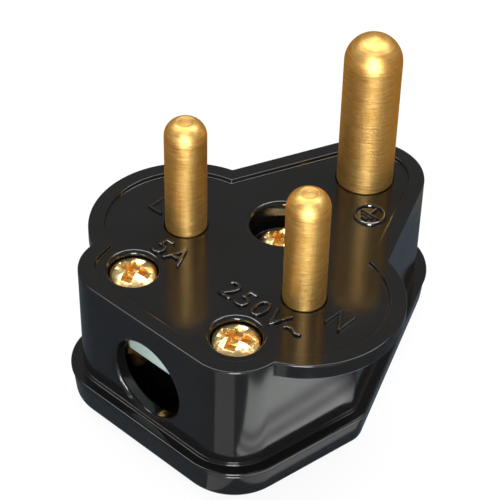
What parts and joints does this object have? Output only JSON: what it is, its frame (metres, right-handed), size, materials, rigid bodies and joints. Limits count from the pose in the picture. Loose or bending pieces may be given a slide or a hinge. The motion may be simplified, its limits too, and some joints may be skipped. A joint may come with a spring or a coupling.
{
  "type": "type d plug",
  "caption": "Rewireable power plug with three round pins, the earth pin longer and thicker, in a black moulded body with a cord entry at its end.",
  "frame": {"origin": "on the flat back (underside), on the body's centre line, straight below the middle between the line and neutral pins", "axes": "+Z out of the pin face along the pins, +Y from the line and neutral pins towards the earth pin, so the cord enters from -Y; +X towards the neutral pin, with the line pin at -X"},
  "size_m": [0.0428, 0.0492, 0.0398],
  "materials": {
    "black_moulding": "glossy black thermoset moulding",
    "turned_brass": "fine turned, lightly polished",
    "terminal_brass": "bright turned screws and insert",
    "yellow_zinc": "steel with yellow passivated zinc plating",
    "pale_moulding": "pale matt moulding"
  },
  "bodies": {
    "root": {"pin_carrier": "black_moulding", "back_cover": "black_moulding", "line_pin": "turned_brass", "neutral_pin": "turned_brass", "earth_pin": "turned_brass", "line_terminal_screw": "terminal_brass", "neutral_terminal_screw": "terminal_brass", "earth_terminal_screw": "terminal_brass", "cord_clamp_bar": "pale_moulding", "left_clamp_screw": "yellow_zinc", "right_clamp_screw": "yellow_zinc", "left_clamp_nut": "yellow_zinc", "right_clamp_nut": "yellow_zinc", "cover_screw": "yellow_zinc", "cover_screw_insert": "terminal_brass"}
  },
  "joints": []
}
